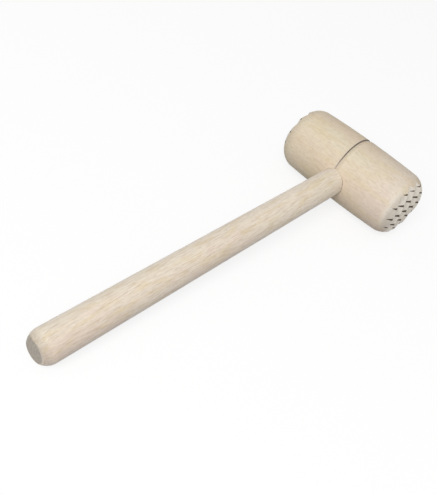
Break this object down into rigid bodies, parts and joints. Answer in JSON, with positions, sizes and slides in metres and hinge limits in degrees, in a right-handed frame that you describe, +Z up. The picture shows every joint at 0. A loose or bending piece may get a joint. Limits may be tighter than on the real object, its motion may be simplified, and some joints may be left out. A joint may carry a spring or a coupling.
{
  "type": "meat mallet",
  "caption": "Wooden meat mallet: a barrel-shaped head with toothed ends and a turned ring groove, wedged on a tapered round handle.",
  "frame": {"origin": "middle of the bounding box, on the surface that the mallet lies on", "axes": "+Z up from that surface, +Y along the head's axis, +X towards the head, so that the handle runs to -X and dips to its free end"},
  "size_m": [0.3293, 0.1108, 0.054],
  "materials": {
    "head_wood": "bare sanded beech",
    "handle_wood": "bare sanded beech",
    "wedge_wood": "bare sawn hardwood"
  },
  "bodies": {
    "root": {"head": "head_wood", "handle": "handle_wood", "wedge": "wedge_wood"}
  },
  "joints": []
}
